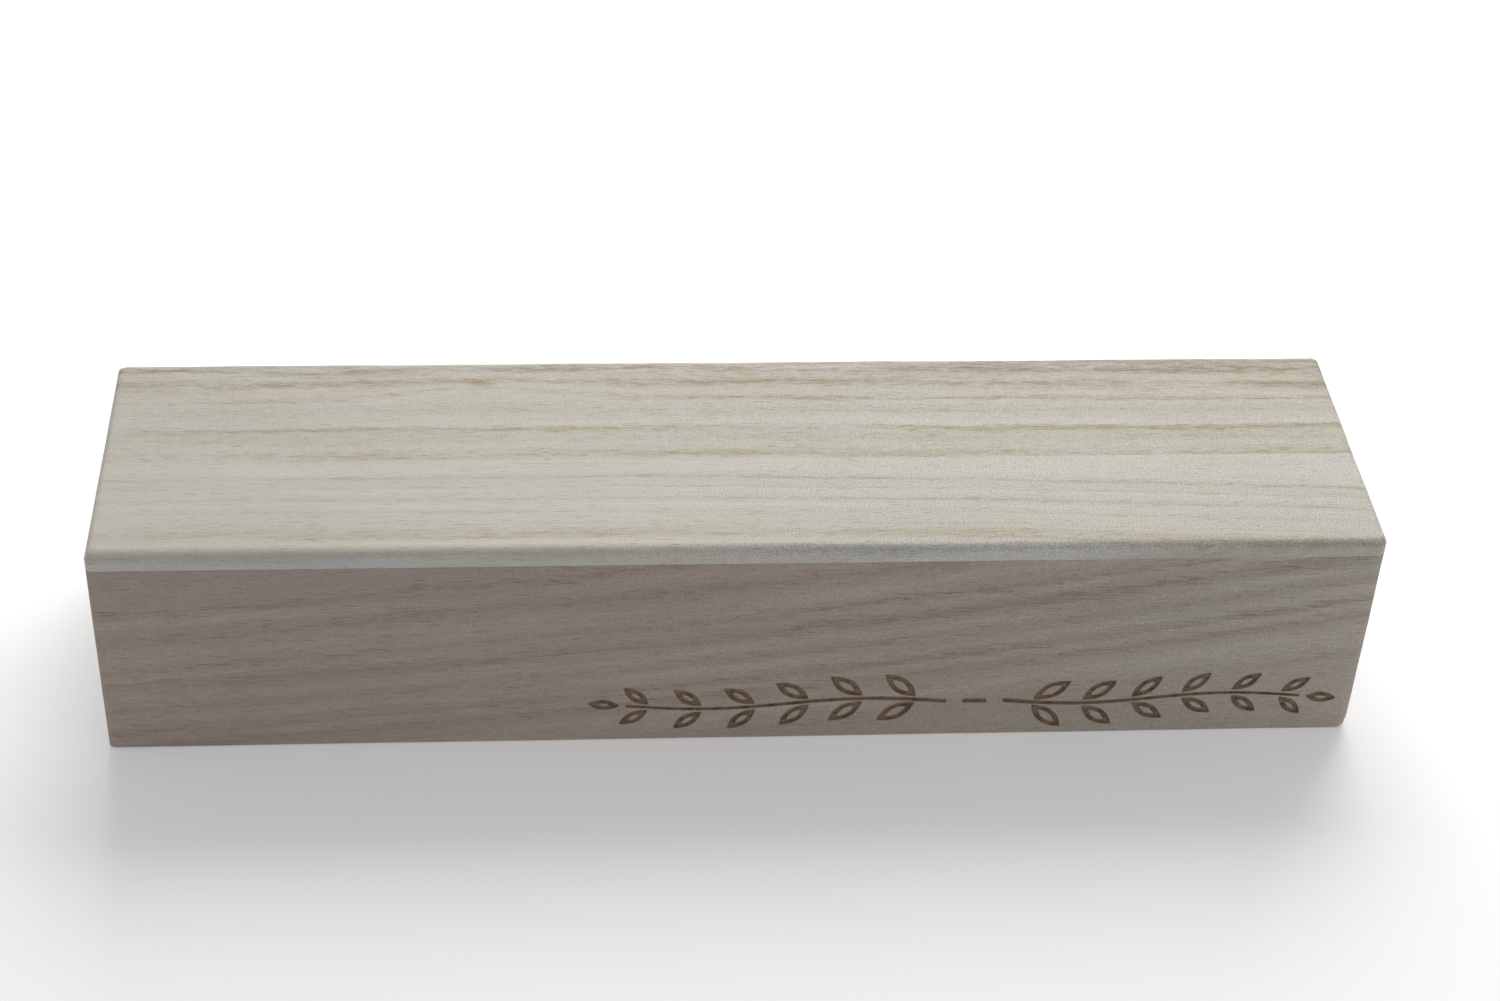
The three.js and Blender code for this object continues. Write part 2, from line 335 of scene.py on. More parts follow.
def signed_distance(points, loops):
    """Distance to a shape's nearest edge: positive inside its line, negative outside."""
    nearest = np.full(len(points), np.inf)
    inside = np.zeros(len(points), bool)
    for loop in loops:
        starts, ends = loop, np.roll(loop, -1, axis=0)
        for a, b in zip(starts, ends):
            ab, ap = b - a, points - a
            along = np.clip((ap @ ab) / max(ab @ ab, 1e-12), 0, 1)
            nearest = np.minimum(nearest, np.linalg.norm(ap - along[:, None] * ab, axis=1))
            crosses = (a[1] > points[:, 1]) != (b[1] > points[:, 1])
            if a[1] != b[1]:
                at = a[0] + (points[:, 1] - a[1]) * (b[0] - a[0]) / (b[1] - a[1])
                inside ^= crosses & (points[:, 0] < at)
    return np.where(inside, nearest, -nearest)


def smooth(low, high, value):
    t = np.clip((value - low) / (high - low), 0, 1)
    return t * t * (3 - 2 * t)


def offset_row(loop, distance):
    """The loop's points moved sideways; positive goes to the left of its direction."""
    way = np.roll(loop, -1, axis=0) - np.roll(loop, 1, axis=0)
    way /= np.maximum(np.linalg.norm(way, axis=1), 1e-9)[:, None]
    return loop + distance * np.stack([-way[:, 1], way[:, 0]], axis=1)


def groove_points(shapes):
    """Points in rows along every groove's edges, and over its floor."""
    kept = [loop for loops in shapes for loop in loops]
    for loops in shapes:
        for loop in loops:
            for distance in (-GROOVE_WALL, -0.12, 0.12, GROOVE_WALL, -BURN_SPREAD, BURN_SPREAD):
                row = offset_row(loop, distance)
                close = np.abs(signed_distance(row, loops)) > 0.8 * abs(distance)
                kept.append(row[close])
        low = np.min(np.concatenate(loops), axis=0)
        high = np.max(np.concatenate(loops), axis=0)
        xs = np.arange(low[0], high[0], POINT_SPACING)
        zs = np.arange(low[1], high[1], POINT_SPACING)
        cells = np.stack(np.meshgrid(xs, zs), axis=-1).reshape(-1, 2)
        kept.append(cells[signed_distance(cells, loops) > GROOVE_WALL + 0.1])
    return np.concatenate(kept)


def face_field(points, shapes):
    """The signed distance to the nearest groove of all, over points of the face."""
    field = np.full(len(points), -np.inf)
    for loops in shapes:
        margin = 1.0
        low = np.min(np.concatenate(loops), axis=0) - margin
        high = np.max(np.concatenate(loops), axis=0) + margin
        near = np.all((points > low) & (points < high), axis=1)
        if near.any():
            field[near] = np.maximum(field[near], signed_distance(points[near], loops))
    return field


def engraved_patch(xs, zs):
    """A triangulated patch of the face, in millimetres, with the depth and scorching of each point."""
    border = [(x, zs[0]) for x in xs[:-1]] + [(xs[-1], z) for z in zs[:-1]]
    border += [(x, zs[-1]) for x in xs[:0:-1]] + [(xs[0], z) for z in zs[:0:-1]]
    shapes = ornament()
    points = [Vector(p) for p in border]
    edges = [(i, (i + 1) % len(border)) for i in range(len(border))]
    points += [Vector(p) for p in groove_points(shapes)]
    found, _, faces, *_ = delaunay_2d_cdt(points, edges, [], 0, 1e-3)
    found = np.array([tuple(p) for p in found])
    field = face_field(found, shapes)
    rough = np.sin(9.1 * found[:, 0]) * np.sin(7.3 * found[:, 1] + 2.1 * found[:, 0])
    depth = GROOVE_DEPTH * smooth(0, GROOVE_WALL, field)
    depth += FLOOR_ROUGHNESS * rough * smooth(0.5 * GROOVE_WALL, GROOVE_WALL, field)
    burn = smooth(-BURN_SPREAD, 0.5 * BURN_SPREAD, field)
    return found, faces, np.clip(depth, 0, None), burn


def engraved_front(material):
    """The front board, with the ornament as a real groove in its face."""
    node = "front_board"
    cuts = ([x * MM for x in WINDOW["x"]], (), [z * MM for z in WINDOW["z"]])
    lines, (points, quads) = plank_surface(node, wall_cuts(), cuts)
    x_lines, _, z_lines = lines
    in_window = points[:, 1] < wall_low[1] + CLOSE
    for axis, (low, high) in ((0, WINDOW["x"]), (2, WINDOW["z"])):
        in_window &= (points[:, axis] > low * MM - CLOSE) & (points[:, axis] < high * MM + CLOSE)
    quads = quads[~in_window[quads].all(axis=1)]

    def within(lines_of_axis, limits):
        scaled = lines_of_axis / MM
        return scaled[(scaled > limits[0] - 1e-3) & (scaled < limits[1] + 1e-3)]

    patch, patch_faces, depth, burn = engraved_patch(
        within(x_lines, WINDOW["x"]), within(z_lines, WINDOW["z"])
    )
    face_y = np.full(len(patch), wall_low[1])
    patch_points = np.stack([patch[:, 0] * MM, face_y, patch[:, 1] * MM], axis=1)
    joined = np.concatenate([sanded(points), sanded(patch_points) + np.outer(depth * MM, (0, 1, 0))])
    faces = [tuple(q) for q in quads] + [tuple(i + len(points) for i in f) for f in patch_faces]
    piece = add_mesh(f"{node}_wood", joined, faces, material, smooth=False)
    mark = piece.data.attributes.new("burn", "FLOAT", "POINT")
    mark.data.foreach_set("value", np.concatenate([np.zeros(len(points)), burn]).astype(np.float32))
    weld(piece)
    piece.data.shade_smooth()
    piece.data.set_sharp_from_angle(angle=SHARP_ANGLE)
    return stand_for(piece, node)


def weld(piece, distance=2e-6):
    """Joins points that lie on each other and drops points that no face uses."""
    bm = bmesh.new()
    bm.from_mesh(piece.data)
    bmesh.ops.remove_doubles(bm, verts=bm.verts, dist=distance)
    loose = [v for v in bm.verts if not v.link_faces]
    bmesh.ops.delete(bm, geom=loose, context="VERTS")
    bm.to_mesh(piece.data)
    bm.free()


# ---------------------------------------------------------------------------
# Procedural materials
# ---------------------------------------------------------------------------


def tone(red, green, blue):
    """A colour given as it shows on a screen, from 0 to 255, as the linear colour a shader takes."""

    def linear(value):
        value /= 255
        return value / 12.92 if value <= 0.04045 else ((value + 0.055) / 1.055) ** 2.4

    return (linear(red), linear(green), linear(blue), 1.0)


class Graph:
    """Short calls for the shader nodes of one material. Positions in it are in millimetres."""

    def __init__(self, name):
        self.material = bpy.data.materials.new(name)
        self.material.use_nodes = True
        self.tree = self.material.node_tree
        self.tree.nodes.clear()

    def add(self, kind, inputs=None, **settings):
        node = self.tree.nodes.new(kind)
        for key, value in settings.items():
            setattr(node, key, value)
        for key, value in (inputs or {}).items():
            self.feed(node.inputs[key], value)
        return node

    def feed(self, socket, value):
        if isinstance(value, bpy.types.NodeSocket):
            self.tree.links.new(value, socket)
        else:
            socket.default_value = value

    def math(self, operation, *values, clamp=False):
        inputs = dict(enumerate(values))
        return self.add("ShaderNodeMath", inputs, operation=operation, use_clamp=clamp).outputs[0]

    def sum(self, first, *rest):
        for value in rest:
            first = self.math("ADD", first, value)
        return first

    def scaled(self, value, factor):
        return self.math("MULTIPLY", value, factor)

    def step(self, value, low, high):
        """0 below low, 1 above high, and smooth between."""
        inputs = {"Value": value, "From Min": low, "From Max": high}
        return self.add("ShaderNodeMapRange", inputs, interpolation_type="SMOOTHSTEP").outputs[0]

    def position(self):
        """The object's own coordinates, in millimetres."""
        place = self.add("ShaderNodeTexCoord").outputs["Object"]
        inputs = {0: place, "Scale": 1 / MM}
        return self.add("ShaderNodeVectorMath", inputs, operation="SCALE").outputs[0]

    def parts(self, vector):
        return self.add("ShaderNodeSeparateXYZ", {0: vector}).outputs[0:3]

    def vector(self, x, y, z):
        return self.add("ShaderNodeCombineXYZ", {0: x, 1: y, 2: z}).outputs[0]

    def noise(self, place, sizes, seed, detail=2.0, roughness=0.5):
        """Noise from about -0.5 to 0.5, whose blotches have these sizes along each axis."""
        inputs = {0: place, 1: tuple(1 / s for s in sizes), 2: (seed * 7.3, seed * 3.1, seed * 5.7)}
        moved = self.add("ShaderNodeVectorMath", inputs, operation="MULTIPLY_ADD").outputs[0]
        inputs = {"Vector": moved, "Scale": 1.0, "Detail": detail, "Roughness": roughness}
        return self.math("SUBTRACT", self.add("ShaderNodeTexNoise", inputs).outputs[0], 0.5)

    def ramp(self, value, stops, low, high):
        """A colour ramp with its stops at the values that they are given for."""
        inputs = {"Value": value, "From Min": low, "From Max": high}
        share = self.add("ShaderNodeMapRange", inputs).outputs[0]
        node = self.add("ShaderNodeValToRGB", {0: share})
        node.color_ramp.interpolation = "EASE"
        points = node.color_ramp.elements
        while len(points) < len(stops):
            points.new(0.5)
        for point, (at, color) in zip(points, stops):
            point.position = (at - low) / (high - low)
        for point, (at, color) in zip(points, stops):
            point.color = color
        return node.outputs[0]

    def mix(self, share, first, second, blend="MIX"):
        node = self.add("ShaderNodeMix", data_type="RGBA", blend_type=blend)
        self.feed(node.inputs["Factor"], share)
        self.feed(node.inputs[6], first)
        self.feed(node.inputs[7], second)
        return node.outputs[2]

    def grey(self, color):
        return self.add("ShaderNodeRGBToBW", {0: color}).outputs[0]

    def brighten(self, color, amount):
        """Multiplies a colour by 1 plus an amount."""
        factor = self.math("ADD", amount, 1.0)
        grey = self.add("ShaderNodeCombineColor", {0: factor, 1: factor, 2: factor}).outputs[0]
        return self.mix(1.0, color, grey, "MULTIPLY")

    def finish(self, color, roughness, height, bump_distance, **fixed):
        """The shader itself. Every fixed value is set on the shader's own socket."""
        inputs = {"Height": height, "Distance": bump_distance, "Strength": 1.0}
        bump = self.add("ShaderNodeBump", inputs).outputs[0]
        inputs = {"Base Color": color, "Roughness": roughness, "Normal": bump, **fixed}
        shader = self.add("ShaderNodeBsdfPrincipled", inputs).outputs[0]
        self.add("ShaderNodeOutputMaterial", {"Surface": shader})
        return self.material


# How far slow and quick wandering bend a ring line, in millimetres.
SLOW_BEND, QUICK_BEND = 4.5, 1.6
# How strongly long and short patches of the ring lines come and go, and the most that shows.
LONG_FADE, SHORT_FADE, MOST_SHOWN = 2.2, 1.7, 1.15
# How much each kind of figure brightens or darkens the wood.
STREAK_SHADE, BLOTCH_SHADE, FIBRE_SHADE, GRIT_SHADE, PORE_SHADE = 0.24, 0.12, 0.26, 0.55, 0.32
WARM_STREAK = (0.86, 0.78, 0.67, 1)
PORE_BROWN = (0.66, 0.53, 0.41, 1)
BOARD_END_TONE = (0.80, 0.74, 0.66)
STAVE_END_TONE = (0.93, 0.90, 0.86)
GRAIN_RELIEF = 0.08 * MM


def wood(
    name, grain, face, plain, stops, limits, seed, ring,
    wander=0.8, feather=4.0, presence=0.6, swell=0.0, fleck=1.0, opening=0.0,
    end_tone=BOARD_END_TONE, extra=None,
):
    """Sanded ring-porous wood, solid all through.

    grain names the axes along, across and through the plank, and face is how far its outer face
    is from the middle. ring turns the place into the growth ring coordinate, in millimetres. The
    colour stops of the ring lines lie along that, and the lines come and go over the plain
    colour. wander bends the lines, feather frays them into the fibres, presence is how much of
    them shows, swell how much more of them shows towards the positive end, and fleck how strong
    the pores are. opening is how much stronger the finest ones get from left to right. extra may
    change the colour and the height.
    """
    g = Graph(name)
    axes = dict(zip("xyz", g.parts(g.position())))
    along, across, through = (axes[a] for a in grain)
    place = g.vector(along, across, through)
    depth = g.math("SUBTRACT", face, g.math("ABSOLUTE", through))

    slow = g.noise(place, (75, 26, 26), seed)
    quick = g.noise(place, (17, 5, 5), seed + 1)
    strand = g.noise(place, (9, 0.55, 0.55), seed + 2, detail=3)
    bends = g.scaled(slow, SLOW_BEND * wander), g.scaled(quick, QUICK_BEND * wander)
    bent = g.sum(ring(g, along, across, depth), *bends)
    in_ring = g.vector(along, bent, through)
    lines = g.ramp(g.sum(bent, g.scaled(strand, feather)), stops, *limits)

    long_fade = g.noise(in_ring, (46, 3.2, 12), seed + 3)
    short_fade = g.noise(in_ring, (4.5, 0.8, 4), seed + 4)
    fades = g.scaled(long_fade, LONG_FADE), g.scaled(short_fade, SHORT_FADE)
    share = g.sum(*fades, g.scaled(along, swell), presence)
    share = g.math("MINIMUM", g.math("MAXIMUM", share, 0.0), MOST_SHOWN)
    color = g.mix(share, (*plain[:3], 1), lines)

    streak = g.noise(in_ring, (70, 1.0, 6), seed + 5, detail=4, roughness=0.6)
    blotch = g.noise(place, (90, 22, 22), seed + 6)
    fibre = g.noise(place, (6, 0.38, 0.38), seed + 7, detail=3, roughness=0.65)
    grit = g.noise(place, (0.45, 0.32, 0.32), seed + 8, detail=1)
    opened = g.sum(g.scaled(g.step(along, -100.0, 60.0), opening), 1.0)
    grit = g.math("MULTIPLY", grit, opened)
    pore_field = g.noise(place, (4.2, 0.36, 0.36), seed + 9, detail=0)
    grey_plain = 0.2126 * plain[0] + 0.7152 * plain[1] + 0.0722 * plain[2]
    depth_of_line = g.math("SUBTRACT", 1.0, g.math("DIVIDE", g.grey(color), grey_plain))
    pore_edge = g.math("SUBTRACT", 0.20, g.scaled(depth_of_line, 0.5))
    pores = g.step(g.math("SUBTRACT", pore_field, pore_edge), 0.0, 0.10)

    warm = g.mix(g.step(streak, 0.0, 0.30), color, WARM_STREAK, "MULTIPLY")
    color = g.mix(0.6, color, warm)
    shade = g.sum(
        g.scaled(streak, STREAK_SHADE), g.scaled(blotch, BLOTCH_SHADE),
        g.scaled(fibre, FIBRE_SHADE * fleck), g.scaled(grit, GRIT_SHADE * fleck),
    )
    color = g.brighten(color, shade)
    color = g.mix(g.scaled(pores, PORE_SHADE * fleck), color, PORE_BROWN, "MULTIPLY")

    facing = g.parts(g.add("ShaderNodeTexCoord").outputs["Normal"])["xyz".index(grain[0])]
    end_grain = g.math("POWER", g.math("ABSOLUTE", facing), 3.0, clamp=True)
    color = g.mix(end_grain, color, g.mix(1.0, color, (*end_tone, 1), "MULTIPLY"))
    height = g.sum(g.scaled(fibre, 0.5), g.scaled(pores, -0.55), g.scaled(streak, 0.3))
    if extra:
        color, height = extra(g, color, height)
    roughness = g.sum(g.scaled(fibre, 0.25), g.scaled(pores, 0.1), 0.66)
    return g.finish(color, roughness, height, GRAIN_RELIEF, **{"Specular IOR Level": 0.35})


PALEST = tone(201, 198, 188)
CREAM = tone(196, 191, 179)
# Painted shade: a darker cream for the front stave's rounded arris and edge.
ARRIS_SHADE_CREAM = tone(190, 185, 172)
SOFT_TAN = tone(189, 182, 166)
TAN = tone(181, 172, 153)
STRAW = tone(176, 164, 140)
BROWN = tone(166, 152, 127)
MAUVE = tone(174, 164, 149)
MAUVE_BROWN = tone(160, 147, 131)
FRONT_LIGHT = tone(169, 159, 149)
FRONT_MID = tone(159, 147, 137)
FRONT_DARK = tone(142, 124, 109)

# The top staves: millimetres in from the front edge and from the rear edge.
FRONT_STAVE_STOPS = [
    # Painted shade: the darker cream from 1.1 to 2.8 mm lies over the rounded front arris and edge.
    (0.0, CREAM), (0.5, CREAM), (1.1, ARRIS_SHADE_CREAM), (2.8, ARRIS_SHADE_CREAM), (3.9, PALEST), (5.2, CREAM),
    (6.6, TAN), (8.2, TAN), (10.2, SOFT_TAN), (11.6, CREAM), (12.4, SOFT_TAN), (13.1, CREAM),
    (16.6, CREAM), (17.6, SOFT_TAN), (18.5, CREAM), (20.4, PALEST), (22.2, CREAM), (23.1, TAN),
    (24.1, CREAM), (27.4, PALEST), (28.0, SOFT_TAN), (28.6, CREAM), (31.4, CREAM), (32.3, TAN),
    (33.3, CREAM), (35.0, PALEST), (50.0, PALEST),
]
REAR_STAVE_STOPS = [
    (0.0, MAUVE), (2.6, MAUVE), (3.8, MAUVE_BROWN), (4.9, MAUVE_BROWN), (6.2, TAN), (8.2, SOFT_TAN),
    (9.6, TAN), (11.0, BROWN), (12.6, STRAW), (14.6, SOFT_TAN), (16.4, CREAM), (17.4, SOFT_TAN),
    (19.0, STRAW), (20.2, CREAM), (24.6, SOFT_TAN), (26.4, CREAM), (30.4, PALEST), (31.4, CREAM),
    (32.4, STRAW), (33.4, STRAW), (34.6, SOFT_TAN), (38.0, SOFT_TAN), (40.5, CREAM),
    (43.0, SOFT_TAN), (44.6, STRAW), (45.8, TAN), (46.8, CREAM), (52.0, CREAM),
]
# Darker streaks of the mauve boards: where they lie, half their width, how dark from 0 to 1.
FRONT_STREAKS = [
    (3, 1.6, 0.4), (17, 1.8, 0.6), (22.5, 1.2, 0.9), (30.5, 1.3, 0.5),
    (39, 2.6, 0.8), (45, 1.0, 0.9), (57, 2.4, 0.7), (66, 1.4, 0.8),
]
BACK_STREAKS = [
    (-20, 2.5, 0.6), (-3, 1.6, 0.8), (11, 2.2, 0.5), (23, 1.4, 0.9),
    (36, 2.6, 0.6), (52, 1.8, 0.9), (66, 2.2, 0.5),
]
END_STREAKS = [
    (6, 1.2, 0.6), (15, 1.8, 0.8), (27, 1.3, 0.5), (38, 2.0, 0.9), (49, 1.2, 0.6), (60, 1.6, 0.7),
]
PANEL_STREAKS = [
    (-39, 1.4, 0.7), (-27, 2.2, 0.5), (-12, 1.3, 0.8), (-3, 1.0, 0.4),
    (12, 1.8, 0.7), (26, 1.2, 0.6), (37, 1.9, 0.8),
]
BLOCK_STREAKS = [(-166, 1.5, 0.8), (-162, 1.0, 0.6), (158, 1.2, 0.8), (164, 1.6, 0.6), (169, 1.0, 0.9)]


def blend_tone(first, second, share):
    return tuple(a + (b - a) * share for a, b in zip(first, second))


def streak_stops(streaks, light, middle, dark):
    """Colour stops that fall to a dark streak and rise to light wood half way to the next one."""
    stops = []
    for i, (at, half, strength) in enumerate(streaks):
        stops += [(at - half, middle), (at, blend_tone(middle, dark, strength)), (at + half, middle)]
        if i + 1 < len(streaks):
            following = streaks[i + 1]
            stops.append(((at + half + following[0] - following[1]) / 2, light))
    return stops


FRONT_Y_MM, REAR_Y_MM = LOW[1] / MM, HIGH[1] / MM
KNOT = {"x": -72.0, "from_rear": 10.6, "half_length": 5.5, "half_width": 1.8}
KNOT_TINT = (0.70, 0.54, 0.38, 1)
# Rings swell round the knot: where that starts, is full and ends, and how far from the rear edge.
SWEEP = {"rise": (-125.0, -72.0), "fall": (-66.0, -20.0), "from_rear": 15.0, "reach": 10.0, "size": 5.0}
# Painted shade: the greyer tint of the front stave's forward-facing long edge.
EDGE_SHADE_TINT = (0.98, 1.01, 1.08, 1)  # of the front stave's long edge, against its face
# Partly the board's own tone, partly painted light from the right: the front board's greyer right end.
RIGHT_TINT = (1.02, 1.07, 1.10, 1)  # of the front board's right end, against its middle


def front_stave_ring(g, along, across, depth):
    """Rings run straight on the left, and bend towards the front edge on the right."""
    past = g.math("MAXIMUM", g.math("ADD", along, 60.0), 0.0)
    bend = g.scaled(g.math("MULTIPLY", past, past), 1.7e-4)
    return g.sum(across, -FRONT_Y_MM, bend, g.scaled(depth, 0.35))


def rear_stave_ring(g, along, across, depth):
    """Rings are counted from the rear edge, and sweep round a small knot left of the middle."""
    from_rear = g.math("SUBTRACT", REAR_Y_MM, across)
    rise = g.step(along, *SWEEP["rise"])
    fall = g.math("SUBTRACT", 1.0, g.step(along, *SWEEP["fall"]))
    away = g.math("ABSOLUTE", g.math("SUBTRACT", from_rear, SWEEP["from_rear"]))
    near = g.math("SUBTRACT", 1.0, g.step(away, 0.0, SWEEP["reach"]))
    sweep = g.math("MULTIPLY", g.math("MULTIPLY", rise, fall), near)
    droop = g.scaled(g.math("MAXIMUM", along, 0.0), -0.011)
    return g.sum(from_rear, g.scaled(sweep, SWEEP["size"]), droop, g.scaled(depth, 0.4))


def slanted_ring(slope, bend, tilt):
    """Rings that rise to the right ever more steeply, as where a board is cut across its rings."""

    def ring(g, along, across, depth):
        rise = g.sum(g.scaled(along, slope), g.scaled(g.math("MULTIPLY", along, along), bend))
        return g.sum(across, g.scaled(rise, -1.0), g.scaled(depth, tilt))

    return ring


def darker_left(g, color, height):
    """The top is a shade darker towards its left end: partly the wood's own tone, partly painted shade.
    """
    x, _, _ = g.parts(g.position())
    return g.brighten(color, g.scaled(g.step(x, -40.0, -130.0), -0.045)), height


def painted_edge_shade(g, color, height):
    """Painted shade: the front stave's forward-facing long edge and arris are darker and greyer, the
    more so at the right.
    """
    # Partly painted shade: the top's darkening towards its left end.
    color, height = darker_left(g, color, height)
    x, _, _ = g.parts(g.position())
    _, facing, _ = g.parts(g.add("ShaderNodeTexCoord").outputs["Normal"])
    # Painted shade, weighted by how squarely the surface faces the front.
    edge = g.math("MULTIPLY", facing, facing)
    color = g.mix(edge, color, g.mix(1.0, color, EDGE_SHADE_TINT, "MULTIPLY"))
    amount = g.sum(g.scaled(g.step(x, 40.0, 170.0), -0.09), -0.07)
    return g.brighten(color, g.math("MULTIPLY", edge, amount)), height


def knot_fleck(g, color, height):
    """A small brown pin knot in the rear stave."""
    # Partly painted shade: the top's darkening towards its left end.
    color, height = darker_left(g, color, height)
    x, y, _ = g.parts(g.position())
    dx = g.scaled(g.math("ADD", x, -KNOT["x"]), 1 / KNOT["half_length"])
    dy = g.scaled(g.math("SUBTRACT", y, REAR_Y_MM - KNOT["from_rear"]), 1 / KNOT["half_width"])
    away = g.math("SQRT", g.sum(g.math("MULTIPLY", dx, dx), g.math("MULTIPLY", dy, dy)))
    away = g.sum(away, g.scaled(g.noise(g.position(), (3.5, 0.8, 0.8), 41, detail=3), 2.2))
    fleck = g.math("SUBTRACT", 1.0, g.step(away, 0.1, 1.3))
    return g.mix(g.scaled(fleck, 0.75), color, KNOT_TINT, "MULTIPLY"), height


SCORCH = tone(132, 111, 88)
SCORCH_DARK = tone(100, 82, 66)


def scorch_and_painted_light(g, color, height):
    """The laser-burnt ornament: brown in its grooves, darker in patches, rough on the floor.

    The board round it is a shade lighter and greyer towards its right end, partly its own tone
    and partly painted light from the right, and a shade lighter towards its lower edge, which
    is painted light bounced up from the floor.
    """
    burn = g.add("ShaderNodeAttribute", attribute_name="burn").outputs["Fac"]
    patchy = g.noise(g.position(), (3.0, 3.0, 1.6), 51, detail=3)
    fine = g.noise(g.position(), (0.5, 0.5, 0.3), 52, detail=2)
    char = g.mix(g.step(g.sum(patchy, g.scaled(fine, 0.5)), -0.08, 0.16), SCORCH, SCORCH_DARK)
    x, _, z = g.parts(g.position())
    # Painted light: lighter towards the right end (partly the board's own tone) and towards the lower
    # edge (light bounced from the floor).
    to_right = g.scaled(x, 0.055 / (LENGTH / MM / 2))
    down = g.scaled(g.math("SUBTRACT", 40.0, z), 0.0024)
    color = g.brighten(color, g.sum(to_right, down))
    # Greyer towards the right end: partly the board's own tone, partly painted light.
    color = g.mix(g.step(x, 0.0, 150.0), color, g.mix(1.0, color, RIGHT_TINT, "MULTIPLY"))
    return g.mix(burn, color, char), g.sum(height, g.math("MULTIPLY", g.scaled(fine, 1.5), burn))


def make_woods():
    front_stops = streak_stops(FRONT_STREAKS, FRONT_LIGHT, FRONT_MID, FRONT_DARK)
    back_stops = streak_stops(BACK_STREAKS, FRONT_LIGHT, FRONT_MID, FRONT_DARK)
    end_stops = streak_stops(END_STREAKS, PALEST, CREAM, BROWN)
    panel_stops = streak_stops(PANEL_STREAKS, PALEST, CREAM, BROWN)
    block_stops = streak_stops(BLOCK_STREAKS, PALEST, CREAM, BROWN)
    top, side, end = HIGH[2] / MM, HIGH[1] / MM, HIGH[0] / MM
    return {
        "pale_wood": wood(
            "pale_wood", "xyz", top, CREAM, FRONT_STAVE_STOPS, (0, 50), 1, front_stave_ring,
            wander=0.6, feather=2.5, swell=0.0012, opening=1.6, end_tone=STAVE_END_TONE,
            extra=painted_edge_shade,
        ),
        "streaked_wood": wood(
            "streaked_wood", "xyz", top, CREAM, REAR_STAVE_STOPS, (0, 52), 2, rear_stave_ring,
            feather=5.0, swell=0.0012, opening=0.6, end_tone=STAVE_END_TONE, extra=knot_fleck,
        ),
        "front_wood": wood(
            "front_wood", "xzy", side, FRONT_MID, front_stops, (-30, 85), 83,
            slanted_ring(0.125, 0.00015, 0.5),
            wander=0.8, feather=8.0, presence=0.55, swell=0.001, fleck=1.3, opening=0.4,
            extra=scorch_and_painted_light,
        ),
        "back_wood": wood(
            "back_wood", "xzy", side, FRONT_MID, back_stops, (-30, 85), 19,
            slanted_ring(-0.06, 0.0002, 0.6), feather=7.0, presence=0.75, fleck=1.3,
        ),
        "end_wood": wood(
            "end_wood", "yzx", end, CREAM, end_stops, (0, 66), 25,
            slanted_ring(0.05, 0.0016, 0.6), presence=0.8,
        ),
        "panel_wood": wood(
            "panel_wood", "xyz", 0.0, CREAM, panel_stops, (-45, 75), 36,
            slanted_ring(-0.03, 0.0001, 0.7), presence=0.8,
        ),
        "block_wood": wood(
            "block_wood", "zxy", side, CREAM, block_stops, (-180, 180), 47,
            slanted_ring(0.02, 0.0, 0.9),
        ),
    }


def make_brass():
    g = Graph("screw_brass")
    place = g.position()
    tarnish = g.noise(place, (2.5, 2.5, 2.5), 61, detail=4)
    scratch = g.noise(place, (0.12, 2.0, 0.12), 62, detail=2)
    color = g.mix(g.step(tarnish, -0.1, 0.2), (0.74, 0.55, 0.24, 1), (0.47, 0.33, 0.15, 1))
    roughness = g.sum(g.scaled(tarnish, 0.3), g.scaled(scratch, 0.25), 0.33)
    return g.finish(color, roughness, scratch, 0.01 * MM, Metallic=1.0)


# ---------------------------------------------------------------------------
# The bottom panel, the corner blocks and the screws
# ---------------------------------------------------------------------------

SCREW_SIDES = 32
THREAD_PITCH = 1.25 * MM
THREAD_ROWS = 12  # rows of points in one turn of the thread
CORNERS = ["front_left", "front_right", "rear_left", "rear_right"]
RECESS_TURNS = {"front_left": 0.3, "front_right": 1.1, "rear_left": 0.75, "rear_right": -0.2}


def turned(profile, sides, twist=None):
    """Points and faces of a body of revolution from radius and height pairs, closed at both ends."""
    points, faces = [(0, 0, profile[0][1])], []
    for radius, height in profile[1:-1]:
        for k in range(sides):
            angle = 2 * math.pi * k / sides
            r = radius if twist is None else twist(radius, height, angle)
            points.append((r * math.cos(angle), r * math.sin(angle), height))
    points.append((0, 0, profile[-1][1]))
    rows = len(profile) - 2
    for k in range(sides):
        after = (k + 1) % sides
        faces.append((0, 1 + after, 1 + k))
        for row in range(rows - 1):
            a, b = 1 + row * sides, 1 + (row + 1) * sides
            faces.append((a + k, a + after, b + after, b + k))
        last = 1 + (rows - 1) * sides
        faces.append((last + k, last + after, len(points) - 1))
    return points, faces


def carve(piece, *cutters):
    """Cuts the cutters out of a piece, for good, and removes them."""
    for cutter in cutters:
        cut = piece.modifiers.new("cut", "BOOLEAN")
        cut.operation, cut.object, cut.solver = "DIFFERENCE", cutter, "EXACT"
    bake_modifiers(piece)
    for cutter in cutters:
        bpy.data.objects.remove(cutter)


def bake_modifiers(piece):
    graph = bpy.context.evaluated_depsgraph_get()
    finished = bpy.data.meshes.new_from_object(piece.evaluated_get(graph))
    old = piece.data
    piece.modifiers.clear()
    piece.data = finished
    bpy.data.meshes.remove(old)


def soften(piece, width, segments=2, angle=40):
    bevel = piece.modifiers.new("eased", "BEVEL")
    bevel.width, bevel.segments, bevel.angle_limit = width, segments, math.radians(angle)
    bevel.limit_method = "ANGLE"
    bake_modifiers(piece)
    piece.data.shade_smooth()
    piece.data.set_sharp_from_angle(angle=SHARP_ANGLE)


